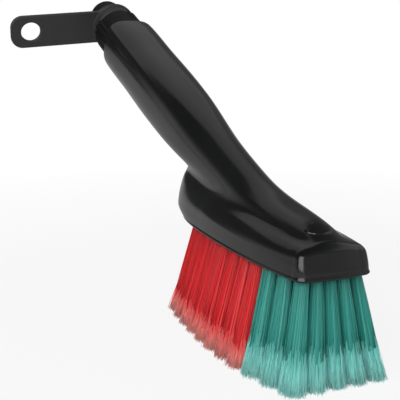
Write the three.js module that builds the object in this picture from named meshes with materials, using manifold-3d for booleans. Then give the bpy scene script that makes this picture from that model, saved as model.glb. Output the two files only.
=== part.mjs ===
// Hand scrub brush: a one-piece handle and block, two plates of bristles held by wire staples,
// and a hanging strap that turns on a stub at the end of the handle.
// Millimetres, +Z up, +X towards the nose. The origin is on the plane of the bristle tips,
// at the tip of the middle strand.
import * as THREE from 'three';
import { mergeVertices } from 'three/addons/utils/BufferGeometryUtils.js';
import Module from 'manifold-3d';

const wasm = await Module();
wasm.setup();

// Clearance between neighbouring pieces
const GAP = 0.3;
// How far a cutting shape runs past the face that it opens
const CUT_PAST = 1;
// Vertices closer than this are one vertex
const MERGE_DISTANCE = 1e-4;

// Block. Heights are above the rim, which carries the bristle plates
const RIM_HEIGHT = 51;
const NOSE_X = 66;
const NOSE_BULGE = 1.2;
const NOSE_HALF_WIDTH = 19.8;
const NOSE_CORNER = 6.5;
const SHARPEST_CORNER = 1;
const NOSE_LEAN = 1.8;
const NOSE_FACE_HEIGHT = 14.8;
const LEAN_POWER = 4;
const BELLY_HALF_WIDTH = 23.6;
const BELLY_FRONT_X = 36;
const BELLY_REAR_X = -10;
const STERN_START_X = -46;
const STERN_START_HALF_WIDTH = 20;
const STERN_BEND_X = -70;
const STERN_BEND_HALF_WIDTH = 17.5;
const STERN_END_HALF_WIDTH = 14.5;
const STERN_RIM_X = -88;
const STERN_OVERHANG = 16;
const OVERHANG_HEIGHT = 7.4;
const RIM_ROUNDING = 0.8;
const BELOW_RIM = 10;
const WALL_DRAFT = 2;

// Top of the block: a shoulder that climbs inwards from the wall, under a brow that falls to the nose
const NOSE_HEIGHT = 13.6;
const STERN_HEIGHT = 18.6;
const HEIGHT_POWER = 4;
const NOSE_SLOPE = 0.3;
const STERN_SLOPE = 2.1;
const SLOPE_POWER = 1.2;
const SHOULDER_INSETS = [0, 1, 2.5, 5, 7.5, 10];
const SHOULDER_FRONT_X = 50;
const BROW_HEIGHT = 15.2;
const BROW_SLOPE = 0.26;
const EDGE_DROP = 2.2;
const EDGE_REACH = 4;

// Handle: its axis climbs backwards through SHOULDER
const HANDLE_RISE = THREE.MathUtils.degToRad(22);
const SHOULDER_X = -212;
const SHOULDER_ABOVE_RIM = 98.5;
const SHOULDER = new THREE.Vector3(SHOULDER_X, 0, RIM_HEIGHT + SHOULDER_ABOVE_RIM);
const HANDLE_SIDES = 24;
const HANDLE_RINGS = 34;

// Handle and spine from the end of the handle to the nose.
// The straight part gives the distance out from SHOULDER and half the width of a rounded square.
const HANDLE_SECTIONS = [
  { out: 8, half: 16.2 },
  { out: 7, half: 17.6 },
  { out: 4, half: 18.7 },
  { out: -16, half: 18.9 },
  { out: -36, half: 18.5 },
  { out: -75, half: 18.5 },
  { out: -106, half: 17.8 },
];
const HANDLE_SQUARENESS = 3;
// The spine gives its centre, its half width and half height, and how square it is: 2 is an ellipse
const SPINE_SECTIONS = [
  { x: -86, rise: 47.4, halfWidth: 16.4, halfHeight: 16.5, squareness: 2.6 },
  { x: -61, rise: 38, halfWidth: 14.6, halfHeight: 15, squareness: 2.2 },
  { x: -36, rise: 28.6, halfWidth: 13.6, halfHeight: 14, squareness: 2.2 },
  { x: 2, rise: 14.6, halfWidth: 13.6, halfHeight: 14.8, squareness: 2.5 },
  { x: 32, rise: 8.2, halfWidth: 14, halfHeight: 15.4, squareness: 3 },
  { x: 46, rise: 6, halfWidth: 14.6, halfHeight: 14.3, squareness: 3 },
  { x: 54, rise: 4, halfWidth: 13.6, halfHeight: 12.6, squareness: 3 },
];

// Hollow of the handle as radius against the distance out from SHOULDER
const HOLLOW_PROFILE = [
  [0, 20], [10.3, 20], [10.3, 1], [13.5, -4], [15.8, -14], [16.2, -30], [16, -75], [15.2, -106], [13.2, -136],
  [11, -164], [9.5, -186], [6.5, -198], [0, -202],
];

// Bristle plates and tufts
const PLATE_THICKNESS = 8;
const PLATE_RECESS = 0.6;
const PLATE_WALL = 2.2;
const PLATE_FRONT_X = 60.4;
const PLATE_REAR_X = -61.5;
const TUFT_COLUMNS = 11;
const TUFT_PITCH = 11.4;
const TUFTS_IN_COLUMN = 5;
const TUFTS_IN_REAR_COLUMN = 4;
const REAR_COLUMNS = 2;
const TUFT_EDGE_MARGIN = 5;
const NOSE_EDGE_MARGIN = 6.4;
const MARGIN_GROWS_FROM_X = 30;
const MARGIN_FULL_X = 55;
const GREEN_COLUMNS = 3;
const TUFT_ROOT_RADIUS = 1.8;
const TUFT_TIP_RADIUS = 4.2;
const STRANDS_ROUND_TUFT = 7;
const STRAND_ROOT_RADIUS = 0.65;
const STRAND_TIP_RADIUS = 1.2;
const STRAND_SIDES = 3;
const STRAND_SINK = 1;
const FLARE_LENGTHWISE = 1.16;
const FLARE_SIDEWAYS = 1.68;
const FLARE_SIDEWAYS_AT_NOSE = 1.44;
const FLARE_EASES_FROM_X = 0;

// Wire staples at the tufts' roots
const STAPLE_LENGTH = 4.4;
const STAPLE_WIDTH = 0.5;
const STAPLE_HEIGHT = 1.6;

// Stub at the end of the handle: distances out from SHOULDER along the axis
const COLLAR_START = 8.4;
const COLLAR_END = 33;
const COLLAR_RADIUS = 17.8;
const COLLAR_FLUTES = 20;
const STEPS_PER_FLUTE = 4;
const FLUTE_DEPTH = 0.9;
const COLLAR_BEVEL = 1.4;
const COLLAR_SKIRT_RADIUS = 14.6;
const COLLAR_SKIRT_END = 27;
const SHANK_START = -12;
const SHANK_RADIUS = 10;
const SHANK_BORE_RADIUS = 8;
const SHANK_BORE_END = 29;
const NECK_RADIUS = 8;
const NECK_BORE_RADIUS = 5.6;
const NECK_BORE_END = 42;
const NECK_END = 45.3;
const STUD_RADIUS = 5;
const STUD_END = 58;
const TIP_START = 45.6;
const TIP_END = 66;
const TIP_RADIUS = 12.4;
const TIP_ROUNDING = 4;
const TIP_CHAMFER = 0.8;
const TIP_WALL = 2.4;
const TIP_HOLLOW_START = 49;
const ROUND_SIDES = 24;

// Hanging strap
const HUB_START = 33.6;
const HUB_RADIUS = 15.9;
const HUB_CHAMFER = 1;
const STRAP_START = 42;
const STRAP_END = 45;
const EYE_RADIUS = 17;
const EYE_BORE_RADIUS = 8.35;
const EYE_TO_HOLE = 63.8;
const HANG_HOLE_RADIUS = 7.2;
const STRAP_HALF_WIDTH = 12.3;
const STRAP_TIP_LENGTH = 14.8;
const STRAP_TIP_CORNER = 9;
const STRAP_DROOP = THREE.MathUtils.degToRad(4.4);

const blackPlastic = { color: 0x1b1c1d, roughness: 0.38, metalness: 0 };
const strapPlastic = { color: 0x2b2c2d, roughness: 0.6, metalness: 0 };
const redFibre = { color: 0xc22a2f, roughness: 0.55, metalness: 0 };
const greenFibre = { color: 0x2f8f83, roughness: 0.55, metalness: 0 };
const wireSteel = { color: 0xb9bcbd, roughness: 0.35, metalness: 1 };

// The end of the handle has its own frame: Z runs out along the handle, Y is the part's Y
const handleEnd = new THREE.Group();
handleEnd.position.copy(SHOULDER);
handleEnd.rotation.y = HANDLE_RISE - Math.PI / 2;
handleEnd.updateMatrix();

// Turns a closed geometry into a solid with its faces pointing out
function solidFrom(geometry) {
  const bare = geometry.clone();
  bare.deleteAttribute('normal');
  bare.deleteAttribute('uv');
  const merged = mergeVertices(bare, MERGE_DISTANCE);
  const points = merged.attributes.position;
  const triangles = [];
  let volume = 0;
  const [a, b, c] = [new THREE.Vector3(), new THREE.Vector3(), new THREE.Vector3()];
  for (let i = 0; i < merged.index.count; i += 3) {
    const corners = [0, 1, 2].map((k) => merged.index.getX(i + k));
    if (new Set(corners).size < 3) continue;
    triangles.push(corners);
    a.fromBufferAttribute(points, corners[0]);
    b.fromBufferAttribute(points, corners[1]);
    c.fromBufferAttribute(points, corners[2]);
    volume += a.dot(b.cross(c)) / 6;
  }
  if (volume < 0) {
    triangles.forEach((corners) => corners.reverse());
  }
  const mesh = new wasm.Mesh({
    numProp: 3,
    vertProperties: new Float32Array(points.array),
    triVerts: new Uint32Array(triangles.flat()),
  });
  return new wasm.Manifold(mesh);
}

function geometryFrom(solid) {
  const mesh = solid.getMesh();
  const geometry = new THREE.BufferGeometry();
  geometry.setAttribute('position', new THREE.BufferAttribute(new Float32Array(mesh.vertProperties), 3));
  geometry.setIndex(new THREE.BufferAttribute(new Uint32Array(mesh.triVerts), 1));
  geometry.computeVertexNormals();
  return geometry;
}

function namedMesh(name, solid, finish) {
  const mesh = new THREE.Mesh(geometryFrom(solid), new THREE.MeshStandardMaterial(finish));
  mesh.name = name;
  return mesh;
}

// Skins a stack of convex rings, each running anticlockwise as seen from the next ring
function loft(rings) {
  const sides = rings[0].length;
  const positions = rings.flat().flatMap((point) => [point.x, point.y, point.z]);
  const index = [];
  for (let ring = 0; ring + 1 < rings.length; ring += 1) {
    for (let side = 0; side < sides; side += 1) {
      const next = (side + 1) % sides;
      const low = ring * sides;
      const high = low + sides;
      index.push(low + side, low + next, high + next);
      index.push(low + side, high + next, high + side);
    }
  }
  const top = (rings.length - 1) * sides;
  for (let side = 1; side + 1 < sides; side += 1) {
    index.push(0, side + 1, side);
    index.push(top, top + side, top + side + 1);
  }
  const geometry = new THREE.BufferGeometry();
  geometry.setAttribute('position', new THREE.Float32BufferAttribute(positions, 3));
  geometry.setIndex(index);
  return solidFrom(geometry);
}

function box(low, high) {
  const size = new THREE.Vector3().subVectors(high, low);
  const geometry = new THREE.BoxGeometry(size.x, size.y, size.z);
  geometry.translate((low.x + high.x) / 2, (low.y + high.y) / 2, (low.z + high.z) / 2);
  return solidFrom(geometry);
}

// Turns a profile of radius against distance about the Z axis
function turned(profile) {
  const points = profile.map(([radius, distance]) => new THREE.Vector2(radius, distance));
  return solidFrom(new THREE.LatheGeometry(points, ROUND_SIDES).rotateX(Math.PI / 2));
}

// Plan outline of the block, drawn in all round by a distance: from the middle of the nose
// along the +Y side to the middle of the stern
function halfOutline(drawnIn, overhang) {
  const at = (x, y) => new THREE.Vector2(x, y - drawnIn);
  const noseX = NOSE_X - drawnIn;
  const cornerX = noseX - NOSE_BULGE;
  const corner = Math.max(NOSE_CORNER - drawnIn, SHARPEST_CORNER);
  const cornerStart = at(cornerX, NOSE_HALF_WIDTH - corner);
  const cornerEnd = at(cornerX - corner, NOSE_HALF_WIDTH);
  const sternStart = at(STERN_START_X, STERN_START_HALF_WIDTH);
  const sternX = STERN_RIM_X - overhang + drawnIn;
  const noseMiddle = new THREE.Vector2(noseX, 0);
  const sternMiddle = new THREE.Vector2(sternX, 0);
  const bellyFront = at(BELLY_FRONT_X, BELLY_HALF_WIDTH);
  const bellyRear = at(BELLY_REAR_X, BELLY_HALF_WIDTH);
  const sternBend = at(STERN_BEND_X, STERN_BEND_HALF_WIDTH);
  const sternEnd = at(sternX, STERN_END_HALF_WIDTH);
  const curves = [
    [new THREE.QuadraticBezierCurve(noseMiddle, new THREE.Vector2(noseX, cornerStart.y / 2), cornerStart), 2],
    [new THREE.QuadraticBezierCurve(cornerStart, at(cornerX, NOSE_HALF_WIDTH), cornerEnd), 3],
    [new THREE.CubicBezierCurve(cornerEnd, bellyFront, bellyRear, sternStart), 8],
    [new THREE.CubicBezierCurve(sternStart, sternBend, sternEnd, sternMiddle), 7],
  ];
  return curves.flatMap(([curve, steps], which) => curve.getPoints(steps).slice(which ? 1 : 0));
}

function wholeOutline(drawnIn, overhang) {
  const half = halfOutline(drawnIn, overhang);
  const otherSide = half.slice(1, -1).reverse().map((point) => new THREE.Vector2(point.x, -point.y));
  return [...half, ...otherSide];
}

// Half width of the rim at a place along the brush, behind the nose's corner
function rimHalfWidth(x) {
  const side = halfOutline(0, 0).filter((point) => point.x <= NOSE_X - NOSE_BULGE - NOSE_CORNER);
  const after = side.findIndex((point) => point.x <= x);
  const [front, rear] = [side[after - 1], side[after]];
  const share = (front.x - x) / (front.x - rear.x);
  return THREE.MathUtils.lerp(front.y, rear.y, share);
}

// Height of the block's top at a place in plan, on the ring drawn in from the wall by an inset
function topRise(place, inset) {
  const astern = Math.max((NOSE_X - place.x) / (NOSE_X - STERN_RIM_X), 0);
  const height = NOSE_HEIGHT + (STERN_HEIGHT - NOSE_HEIGHT) * astern ** HEIGHT_POWER;
  const slope = NOSE_SLOPE + (STERN_SLOPE - NOSE_SLOPE) * astern ** SLOPE_POWER;
  const sideways = rimHalfWidth(SHOULDER_FRONT_X) - WALL_DRAFT - Math.abs(place.y);
  const reach = Math.max(...SHOULDER_INSETS);
  const climb = slope * (place.x > SHOULDER_FRONT_X ? Math.min(sideways, reach) : inset);
  const brow = BROW_HEIGHT + BROW_SLOPE * (NOSE_X - place.x);
  const edge = 1 - Math.min(inset / EDGE_REACH, 1);
  return Math.min(height + climb, brow) - EDGE_DROP * edge ** 2;
}

// The block leans back at the nose as it rises
function blockRing(drawnIn, overhang, riseAt) {
  return wholeOutline(drawnIn, overhang).map((place) => {
    const rise = riseAt(place);
    const forward = Math.max(place.x / NOSE_X, 0);
    const lean = NOSE_LEAN * (rise / NOSE_FACE_HEIGHT) * forward ** LEAN_POWER;
    return new THREE.Vector3(place.x - lean, place.y, RIM_HEIGHT + rise);
  });
}

function blockSolid() {
  return loft([
    blockRing(RIM_ROUNDING, 0, () => 0),
    blockRing(0, 0, () => RIM_ROUNDING),
    blockRing(0, STERN_OVERHANG, () => OVERHANG_HEIGHT),
    ...SHOULDER_INSETS.map((inset) => (
      blockRing(WALL_DRAFT + inset, STERN_OVERHANG, (place) => topRise(place, inset)))),
  ]);
}

// Handle and spine as one sweep of sections between an ellipse and a rounded square
function handleSolid() {
  const straight = HANDLE_SECTIONS.map(({ out, half }) => ({
    centre: new THREE.Vector3(0, 0, out).applyMatrix4(handleEnd.matrix),
    halfWidth: half,
    halfHeight: half,
    squareness: HANDLE_SQUARENESS,
  }));
  const spine = SPINE_SECTIONS.map(({ x, rise, ...section }) => ({
    centre: new THREE.Vector3(x, 0, RIM_HEIGHT + rise),
    ...section,
  }));
  const sections = [...straight, ...spine];
  const path = new THREE.CatmullRomCurve3(sections.map((section) => section.centre));
  const along = (key) => new THREE.SplineCurve(sections.map((section, i) => new THREE.Vector2(i, section[key])));
  const [widths, heights, squareness] = ['halfWidth', 'halfHeight', 'squareness'].map(along);
  const sideways = new THREE.Vector3(0, 1, 0);
  const rings = [];
  for (let ring = 0; ring <= HANDLE_RINGS; ring += 1) {
    const share = ring / HANDLE_RINGS;
    const centre = path.getPoint(share);
    const upwards = path.getTangent(share).cross(sideways).normalize();
    const [halfWidth, halfHeight] = [widths.getPoint(share).y, heights.getPoint(share).y];
    const power = 2 / squareness.getPoint(share).y;
    const squared = (value) => Math.sign(value) * Math.abs(value) ** power;
    const points = [];
    for (let side = 0; side < HANDLE_SIDES; side += 1) {
      const angle = (2 * Math.PI * (side + 0.5)) / HANDLE_SIDES;
      const point = centre.clone();
      point.addScaledVector(sideways, halfWidth * squared(Math.cos(angle)));
      point.addScaledVector(upwards, halfHeight * squared(Math.sin(angle)));
      points.push(point);
    }
    rings.push(points);
  }
  return loft(rings);
}

function flatExtrusion(outline, low, high) {
  return loft([low, high].map((z) => outline.map((point) => new THREE.Vector3(point.x, point.y, z))));
}

// Part of the plan inside the rim, from one place along the brush to another
function plateSolid(frontX, rearX, wall, low, high) {
  const whole = flatExtrusion(wholeOutline(wall, 0), low, high);
  const lowCorner = new THREE.Vector3(rearX, -BELLY_HALF_WIDTH, low - CUT_PAST);
  const highCorner = new THREE.Vector3(frontX, BELLY_HALF_WIDTH, high + CUT_PAST);
  return whole.intersect(box(lowCorner, highCorner));
}

function brushBody() {
  const hollowPoints = HOLLOW_PROFILE.map(([radius, out]) => new THREE.Vector2(radius, out));
  const hollow = new THREE.LatheGeometry(hollowPoints, ROUND_SIDES);
  hollow.rotateX(Math.PI / 2).applyMatrix4(handleEnd.matrix);
  const pocketLow = RIM_HEIGHT - BELOW_RIM;
  const pocketTop = RIM_HEIGHT + PLATE_RECESS + PLATE_THICKNESS + GAP;
  const pocketWall = PLATE_WALL - GAP;
  const pocket = plateSolid(PLATE_FRONT_X + GAP, PLATE_REAR_X - GAP, pocketWall, pocketLow, pocketTop);
  const outside = blockSolid().add(handleSolid());
  return outside.subtract(solidFrom(hollow)).subtract(pocket);
}

// Tufts stand in columns across the block out to the same margin, with fewer in the narrow rear
function tuftsOf(columns) {
  return columns.flatMap((column) => {
    const atRear = column >= TUFT_COLUMNS - REAR_COLUMNS;
    const count = atRear ? TUFTS_IN_REAR_COLUMN : TUFTS_IN_COLUMN;
    const x = ((TUFT_COLUMNS - 1) / 2 - column) * TUFT_PITCH;
    const nearNose = THREE.MathUtils.smoothstep(x, MARGIN_GROWS_FROM_X, MARGIN_FULL_X);
    const reach = rimHalfWidth(x) - THREE.MathUtils.lerp(TUFT_EDGE_MARGIN, NOSE_EDGE_MARGIN, nearNose);
    return Array.from({ length: count }, (_, row) => {
      const sideways = (2 * row) / (count - 1) - 1;
      return new THREE.Vector2(x, reach * sideways);
    });
  });
}

// A strand tapers out from its root to a flat tip. Places spread in proportion, so strands never cross
function strand(tuft, offset, turn) {
  const rootHeight = RIM_HEIGHT + PLATE_RECESS + STRAND_SINK;
  const ring = (centre, radius, z) => Array.from({ length: STRAND_SIDES }, (_, side) => {
    const angle = turn + (2 * Math.PI * side) / STRAND_SIDES;
    return new THREE.Vector3(centre.x + radius * Math.cos(angle), centre.y + radius * Math.sin(angle), z);
  });
  const tipOffset = offset.clone().multiplyScalar(TUFT_TIP_RADIUS / TUFT_ROOT_RADIUS);
  const nearNose = THREE.MathUtils.smoothstep(tuft.x, FLARE_EASES_FROM_X, PLATE_FRONT_X);
  const sidewaysFlare = THREE.MathUtils.lerp(FLARE_SIDEWAYS, FLARE_SIDEWAYS_AT_NOSE, nearNose);
  const tip = new THREE.Vector2(tuft.x * FLARE_LENGTHWISE, tuft.y * sidewaysFlare).add(tipOffset);
  const root = tuft.clone().add(offset);
  return loft([ring(tip, STRAND_TIP_RADIUS, 0), ring(root, STRAND_ROOT_RADIUS, rootHeight)]);
}

function bristles(columns, frontX, rearX) {
  const plateBottom = RIM_HEIGHT + PLATE_RECESS;
  const plateTop = plateBottom + PLATE_THICKNESS;
  let solid = plateSolid(frontX, rearX, PLATE_WALL, plateBottom, plateTop);
  for (const tuft of tuftsOf(columns)) {
    solid = solid.add(strand(tuft, new THREE.Vector2(0, 0), 0));
    for (let i = 0; i < STRANDS_ROUND_TUFT; i += 1) {
      const angle = (2 * Math.PI * i) / STRANDS_ROUND_TUFT;
      const offset = new THREE.Vector2(Math.cos(angle), Math.sin(angle)).multiplyScalar(TUFT_ROOT_RADIUS);
      solid = solid.add(strand(tuft, offset, angle));
    }
    const half = new THREE.Vector2(STAPLE_LENGTH / 2 + GAP, STAPLE_WIDTH / 2 + GAP);
    const slotLow = new THREE.Vector3(tuft.x - half.x, tuft.y - half.y, plateTop - STAPLE_HEIGHT - 2 * GAP);
    const slotHigh = new THREE.Vector3(tuft.x + half.x, tuft.y + half.y, plateTop + CUT_PAST);
    solid = solid.subtract(box(slotLow, slotHigh));
  }
  return solid;
}

function staple(tuft) {
  const top = RIM_HEIGHT + PLATE_RECESS + PLATE_THICKNESS - GAP;
  const low = new THREE.Vector3(tuft.x - STAPLE_LENGTH / 2, tuft.y - STAPLE_WIDTH / 2, top - STAPLE_HEIGHT);
  const high = new THREE.Vector3(tuft.x + STAPLE_LENGTH / 2, tuft.y + STAPLE_WIDTH / 2, top);
  return box(low, high);
}

function boreCutter(radius, start, end) {
  const [low, high] = [start - CUT_PAST, end + CUT_PAST];
  return turned([[0, low], [radius, low], [radius, high], [0, high]]);
}

function collarSolid() {
  const ring = new THREE.Shape();
  const steps = COLLAR_FLUTES * STEPS_PER_FLUTE;
  for (let step = 0; step < steps; step += 1) {
    const angle = (2 * Math.PI * step) / steps;
    const radius = step % STEPS_PER_FLUTE === 0 ? COLLAR_RADIUS - FLUTE_DEPTH : COLLAR_RADIUS;
    const point = [radius * Math.cos(angle), radius * Math.sin(angle)];
    if (step === 0) ring.moveTo(...point);
    else ring.lineTo(...point);
  }
  ring.closePath();
  const length = COLLAR_END - COLLAR_START;
  const outside = new THREE.ExtrudeGeometry(ring, {
    depth: length - 2 * COLLAR_BEVEL,
    bevelThickness: COLLAR_BEVEL,
    bevelSize: COLLAR_BEVEL,
    bevelOffset: -COLLAR_BEVEL,
    bevelSegments: 2,
  });
  outside.translate(0, 0, COLLAR_START + COLLAR_BEVEL);
  const bore = boreCutter(SHANK_RADIUS + GAP, COLLAR_START, COLLAR_END);
  const skirt = boreCutter(COLLAR_SKIRT_RADIUS, COLLAR_START, COLLAR_SKIRT_END - CUT_PAST);
  return solidFrom(outside).subtract(bore).subtract(skirt);
}

function spigotSolid() {
  return turned([
    [0, NECK_BORE_END], [NECK_BORE_RADIUS, NECK_BORE_END], [NECK_BORE_RADIUS, SHANK_BORE_END],
    [SHANK_BORE_RADIUS, SHANK_BORE_END], [SHANK_BORE_RADIUS, SHANK_START], [SHANK_RADIUS, SHANK_START],
    [SHANK_RADIUS, COLLAR_END + GAP], [NECK_RADIUS, COLLAR_END + GAP], [NECK_RADIUS, NECK_END],
    [STUD_RADIUS, NECK_END], [STUD_RADIUS, STUD_END], [0, STUD_END],
  ]);
}

function tipSolid() {
  const rounded = [0, 30, 60, 90].map((degrees) => {
    const angle = THREE.MathUtils.degToRad(degrees);
    const inwards = TIP_ROUNDING * (1 - Math.cos(angle));
    return [TIP_RADIUS - inwards, TIP_END - TIP_ROUNDING * (1 - Math.sin(angle))];
  });
  const socket = STUD_RADIUS + GAP;
  const [hollowRadius, hollowEnd] = [TIP_RADIUS - TIP_WALL, TIP_END - TIP_WALL];
  return turned([
    [0, hollowEnd], [hollowRadius - TIP_WALL, hollowEnd], [hollowRadius, hollowEnd - TIP_WALL],
    [hollowRadius, TIP_HOLLOW_START], [socket, TIP_HOLLOW_START], [socket, TIP_START],
    [TIP_RADIUS - TIP_CHAMFER, TIP_START], [TIP_RADIUS, TIP_START + TIP_CHAMFER], ...rounded, [0, TIP_END],
  ]);
}

// The strap lies towards -Y and droops a little. In the handle end's frame X points up
function strapSolid() {
  const outline = new THREE.Shape();
  const end = -(EYE_TO_HOLE + STRAP_TIP_LENGTH);
  const [w, r] = [STRAP_HALF_WIDTH, STRAP_TIP_CORNER];
  const meet = Math.asin(w / EYE_RADIUS);
  outline.absarc(0, 0, EYE_RADIUS, meet - Math.PI / 2, 1.5 * Math.PI - meet);
  outline.absarc(r - w, end + r, r, Math.PI, 1.5 * Math.PI);
  outline.absarc(w - r, end + r, r, 1.5 * Math.PI, 2 * Math.PI);
  outline.closePath();
  const hole = new THREE.Path();
  hole.absarc(0, -EYE_TO_HOLE, HANG_HOLE_RADIUS, 0, 2 * Math.PI, true);
  outline.holes.push(hole);
  const depth = STRAP_END - STRAP_START;
  const plate = new THREE.ExtrudeGeometry(outline, { depth, bevelEnabled: false, curveSegments: 10 });
  plate.translate(0, 0, STRAP_START);
  const hubEnd = (STRAP_START + STRAP_END) / 2;
  const hub = turned([
    [0, HUB_START], [HUB_RADIUS - HUB_CHAMFER, HUB_START], [HUB_RADIUS, HUB_START + HUB_CHAMFER],
    [HUB_RADIUS, hubEnd], [0, hubEnd],
  ]);
  return solidFrom(plate).add(hub).subtract(boreCutter(EYE_BORE_RADIUS, HUB_START, STRAP_END));
}

const brush = new THREE.Group();
brush.add(namedMesh('brush_body', brushBody(), blackPlastic));

const allColumns = Array.from({ length: TUFT_COLUMNS }, (_, column) => column);
const greenColumns = allColumns.slice(0, GREEN_COLUMNS);
const redColumns = allColumns.slice(GREEN_COLUMNS);
const colourSplitX = (TUFT_COLUMNS / 2 - GREEN_COLUMNS) * TUFT_PITCH;
const greenPlate = bristles(greenColumns, PLATE_FRONT_X, colourSplitX + GAP / 2);
const redPlate = bristles(redColumns, colourSplitX - GAP / 2, PLATE_REAR_X);
brush.add(namedMesh('green_bristles', greenPlate, greenFibre));
brush.add(namedMesh('red_bristles', redPlate, redFibre));

tuftsOf(allColumns).forEach((tuft, i) => {
  brush.add(namedMesh(`tuft_staple_${String(i + 1).padStart(2, '0')}`, staple(tuft), wireSteel));
});

handleEnd.add(namedMesh('end_collar', collarSolid(), blackPlastic));
handleEnd.add(namedMesh('end_spigot', spigotSolid(), blackPlastic));
handleEnd.add(namedMesh('spigot_tip', tipSolid(), blackPlastic));
const strap = namedMesh('hang_strap', strapSolid(), strapPlastic);
strap.rotation.z = -STRAP_DROOP;
handleEnd.add(strap);
brush.add(handleEnd);

export default brush;
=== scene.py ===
"""Looks of the hand scrub brush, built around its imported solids.

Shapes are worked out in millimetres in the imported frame: +X towards the nose, +Y to the left of someone
who looks along +X, +Z up from the plane of the bristle tips. The body, the strap and the pieces at the end
of the handle are smooth fields (negative inside) that are skinned into meshes. The bristles are single
filaments with split ends. Where something changes gradually, a pair of values gives the two ends of that
stretch. A grid gives (low, high, step) for the stretches of x, of y and of z.
"""
import math

import bpy
import numpy as np
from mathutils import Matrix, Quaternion, Vector


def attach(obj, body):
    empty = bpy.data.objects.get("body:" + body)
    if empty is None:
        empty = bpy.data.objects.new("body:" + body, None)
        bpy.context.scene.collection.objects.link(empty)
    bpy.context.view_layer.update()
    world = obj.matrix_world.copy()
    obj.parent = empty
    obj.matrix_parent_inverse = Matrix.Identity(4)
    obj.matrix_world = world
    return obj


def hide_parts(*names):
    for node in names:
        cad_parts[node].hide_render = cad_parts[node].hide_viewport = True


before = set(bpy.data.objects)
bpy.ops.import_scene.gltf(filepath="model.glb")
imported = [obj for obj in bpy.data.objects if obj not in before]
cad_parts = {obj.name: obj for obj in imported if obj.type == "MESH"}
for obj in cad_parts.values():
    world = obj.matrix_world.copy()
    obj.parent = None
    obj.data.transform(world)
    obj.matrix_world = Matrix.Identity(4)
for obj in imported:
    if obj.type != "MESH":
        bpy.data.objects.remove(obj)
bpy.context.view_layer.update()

MM = 0.001

# Plan of the block at its rim
RIM_HEIGHT = 51
NOSE_X = 66
NOSE_BULGE = 1.2
NOSE_HALF_WIDTH = 19.8
NOSE_CORNER = 6.5
BELLY_HALF_WIDTH = 23.6
BELLY_FRONT_X = 36
BELLY_REAR_X = -10
STERN_START = (-46, 20)
STERN_BEND = (-70, 17.5)
STERN_END_HALF_WIDTH = 14.5
STERN_RIM_X = -88
NOSE_STEPS = 24
SIDE_STEPS = 90
STERN_STEPS = 70

# Walls of the block. Heights are above the rim
NOSE_LEAN = 1.8
NOSE_FACE_HEIGHT = 14.8
LEAN_POWER = 4
LEAN_LIMIT = 1.1
STERN_OVERHANG = 16
OVERHANG_START = 0.4
OVERHANG_HEIGHT = 7.4
NOSE_DRAFT = 2.6
STERN_DRAFT = 1.3
DRAFT_CHANGES_X = (-40, 50)
DRAFT_HEIGHTS = (3, 20)
RIM_ROUNDING = 0.8
LIP_HEIGHT = 1.0
LIP_REACH = 0.5
LIP_THICKNESS = 0.8

# Top of the block: a shoulder that climbs inwards from the wall, under a brow that falls to the nose
NOSE_HEIGHT = 13.6
STERN_HEIGHT = 18.6
HEIGHT_POWER = 4
NOSE_SLOPE = 0.3
STERN_SLOPE = 2.1
SLOPE_POWER = 1.2
SHOULDER_REACH = 10
SHOULDER_FADE = 4
SHOULDER_FRONT_X = 50
BROW_HEIGHT = 15.2
BROW_SLOPE = 0.26
BROW_ROUNDING = 6
NOSE_EDGE_RADIUS = 4
STERN_EDGE_RADIUS = 3
EDGE_CHANGES_X = (45, -40)
NOSE_FILLET = 2
STERN_FILLET = 7
FILLET_CHANGES_X = (20, -75)

# Bare oval pad on the end of the spine. Its edge is in shares of its half sizes
PAD_X = 47.5
PAD_HALF_LENGTH = 5
PAD_HALF_WIDTH = 7.2
PAD_HEIGHT = 0.6
PAD_EDGE = (1.0, 0.91)
PAD_LEVELS = (RIM_HEIGHT + 11, RIM_HEIGHT + 13)

# Handle axis, and half the grip's width against the distance out from the shoulder
HANDLE_RISE = math.radians(22)
SHOULDER_X = -212
SHOULDER_ABOVE_RIM = 98.5
SHOULDER = np.array([SHOULDER_X, 0, RIM_HEIGHT + SHOULDER_ABOVE_RIM])
OUTWARDS = np.array([-math.cos(HANDLE_RISE), 0, math.sin(HANDLE_RISE)])
UPWARDS = np.array([math.sin(HANDLE_RISE), 0, math.cos(HANDLE_RISE)])
HANDLE_END = 8
HANDLE_END_ROUNDING = 3
HANDLE_HALVES = [(12, 18.4), (4, 18.8), (-16, 18.9), (-36, 18.5), (-75, 18.5), (-106, 17.8)]
# Spine sections: x, rise above the rim, half width, half height
SPINE = [(-86, 47.4, 16.4, 16.5), (-61, 38, 14.6, 15), (-36, 28.6, 13.6, 14), (2, 14.6, 13.6, 14.8),
         (32, 8.2, 14, 15.4), (46, 6, 14.6, 14.3), (54, 4, 13.6, 12.6)]
SPINE_NOSE_LENGTH = 6
# A section with squareness 2 is an ellipse
HANDLE_SQUARENESS = 3
WAIST_SQUARENESS = 2.2
WAIST_STARTS_X = (-115, -55)
WAIST_ENDS_X = (25, -20)
LINE_STEP = 0.25
LINE_SOFTENING = 9
LINE_SOFTENING_REACH = 4 * LINE_SOFTENING
SOFTENING_STARTS_X = (-205, -180)
NEAREST_ROUNDS = 5
SOCKET_RADIUS = 10.3
SOCKET_DEPTH = 13
CUT_ROUNDING = 0.4
BODY_GRID = (
    [(-226, -106, 1.5), (-106, 40, 0.9), (40, 68, 0.45)],
    [(-25, 25, 0.5)],
    [(49.5, 54, 0.35), (54, 70, 0.5), (70, 174, 1.4)],
)

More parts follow.
